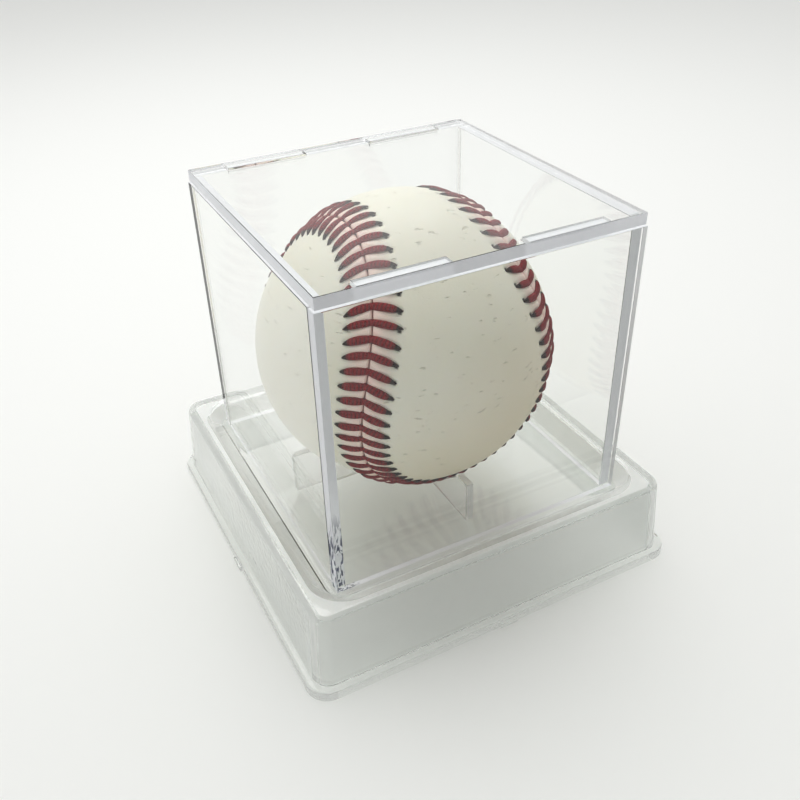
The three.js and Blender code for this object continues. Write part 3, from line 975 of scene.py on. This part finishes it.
def sew(name, sizes):
    """Run the tree on the seam with the sizes given, and keep the result as a piece."""
    curve = seam_curve()
    tree = stitch_tree(thread_material())
    modifier = curve.modifiers.new("stitches", "NODES")
    modifier.node_group = tree
    sockets = {item.name: item.identifier for item in tree.interface.items_tree if item.in_out == "INPUT"}
    for size, value in sizes.items():
        modifier[sockets[size]] = value
    graph = bpy.context.evaluated_depsgraph_get()
    mesh = bpy.data.meshes.new_from_object(curve.evaluated_get(graph))
    bpy.data.objects.remove(curve)
    piece = bpy.data.objects.new(name, mesh)
    scene.collection.objects.link(piece)
    return piece


stitches = sew("stitches", {
    "Count": STITCH_COUNT, "Seed": 4, "Ball Centre": BALL_CENTRE * MM,
    "Reach": 6.75 * MM, "Lean": STITCH_LEAN * MM, "Rise": 1.75 * MM, "Dive": 1.4 * MM,
    "Thickness": 1.95 * MM, "Joint Half": 0.1 * MM,
})
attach(stitches, "ball")
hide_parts("ball_stitching")
report(stitches)

# %% [markdown]
# ## Inside the ball
# The yarn winding and the rubber pill are never seen, but they are there, so they get the finish of the
# real thing: fuzzy crossed yarn, and dull pressed rubber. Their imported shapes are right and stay.

# %% Winding and pill
def yarn_material():
    material, tree, where = new_material("wool_winding")
    settings = {"Vector": where, "Scale": 260.0, "Distortion": 9.0, "Detail": 3.0}
    strands = add(tree, "ShaderNodeTexWave", settings).outputs["Fac"]
    fuzz = noise(tree, where, 2200, 3)
    base = ramp(tree, strands, (0.1, (0.36, 0.32, 0.25)), (0.8, (0.62, 0.58, 0.48)))
    relief = bump(tree, strands, 0.8, 0.3 * MM)
    relief = bump(tree, fuzz, 0.5, 0.1 * MM, relief)
    roughness = remap(tree, fuzz, 0.3, 0.7, 0.75, 0.95)
    finish_material(tree, principled(
        tree, Base_Color=base, Roughness=roughness, Normal=relief, Sheen_Weight=0.4,
    ))
    return material


def rubber_material():
    material, tree, where = new_material("pill_rubber")
    grain = noise(tree, where, 900, 4)
    base = ramp(tree, grain, (0.3, (0.13, 0.03, 0.022)), (0.7, (0.19, 0.05, 0.035)))
    roughness = remap(tree, grain, 0.3, 0.7, 0.6, 0.8)
    relief = bump(tree, grain, 0.4, 0.08 * MM)
    finish_material(tree, principled(tree, Base_Color=base, Roughness=roughness, Normal=relief))
    return material


for node, material in (("ball_winding", yarn_material()), ("ball_pill", rubber_material())):
    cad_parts[node].data.materials[0] = material
    print(node, "finish:", material.name)

# %% [markdown]
# ## Stage and light
# A pale tabletop, one wide soft lamp above and behind, and surroundings that are bright overhead and at
# the back, half as bright on the left and dim towards the viewer. The dim side matters: clear edges show
# whatever they bend light from, so in evenly white surroundings they would vanish. A view gamma a little
# under 1 deepens the contrast that the soft light takes away.

# %% Stage
TABLE_HALF = 3000
TABLE_COLOUR = (0.86, 0.865, 0.85, 1)
DIM_SIDE, MIDDLE, BRIGHT_SIDE = (0.07, 0.06, 0.045), (0.58, 0.59, 0.60), (1, 1, 0.99)
SURROUNDINGS_STRENGTH = 0.93
VIEW_GAMMA = 0.82
VIEW_EXPOSURE = 0.02


def tabletop():
    corners = ((-1, -1), (1, -1), (1, 1), (-1, 1))
    points = [(x * TABLE_HALF, y * TABLE_HALF, 0) for x, y in corners]
    material, tree, where = new_material("tabletop")
    relief = bump(tree, noise(tree, where, 300, 3), 0.05, 0.1 * MM)
    finish_material(tree, principled(
        tree, Base_Color=TABLE_COLOUR, Roughness=0.6, Specular_IOR_Level=0.2, Normal=relief,
    ))
    top = new_piece("tabletop", points, [(0, 1, 2, 3)], material)
    return top


def surroundings():
    world = bpy.data.worlds.new("surroundings")
    scene.world = world
    world.use_nodes = True
    tree = world.node_tree
    tree.nodes.clear()
    way = add(tree, "ShaderNodeTexCoord").outputs["Generated"]
    right, back, up = add(tree, "ShaderNodeSeparateXYZ", {0: way}).outputs
    overhead = remap(tree, up, 0.35, 0.85, 0, 1)
    behind = remap(tree, back, -0.75, 0.35, 0, 1)
    leftward = remap(tree, right, 0.4, -0.8, 0, 0.45)
    brightness = combine(tree, "MAXIMUM", behind, leftward, overhead)
    colour = ramp(tree, brightness, (0.0, DIM_SIDE), (0.5, MIDDLE), (1.0, BRIGHT_SIDE))
    light = add(tree, "ShaderNodeBackground", {"Color": colour, "Strength": SURROUNDINGS_STRENGTH})
    add(tree, "ShaderNodeOutputWorld", {"Surface": light.outputs[0]})


def soft_lamp(name, place, aim, size, power):
    data = bpy.data.lights.new(name, "AREA")
    data.shape = "DISK"
    data.size = size * MM
    data.energy = power
    lamp = bpy.data.objects.new(name, data)
    place, aim = Vector(place) * MM, Vector(aim) * MM
    turn = (place - aim).to_track_quat("Z", "Y").to_matrix()
    lamp.matrix_world = Matrix.Translation(place) @ turn.to_4x4()
    scene.collection.objects.link(lamp)


tabletop()
surroundings()
soft_lamp("overhead", place=(60, 300, 640), aim=(0, 0, 40), size=520, power=1.75)
scene.view_settings.view_transform = "Standard"
scene.view_settings.gamma = VIEW_GAMMA
scene.view_settings.exposure = VIEW_EXPOSURE
scene.cycles.use_denoising = True
scene.cycles.max_bounces = 24
scene.cycles.transmission_bounces = 24
scene.cycles.transparent_max_bounces = 32
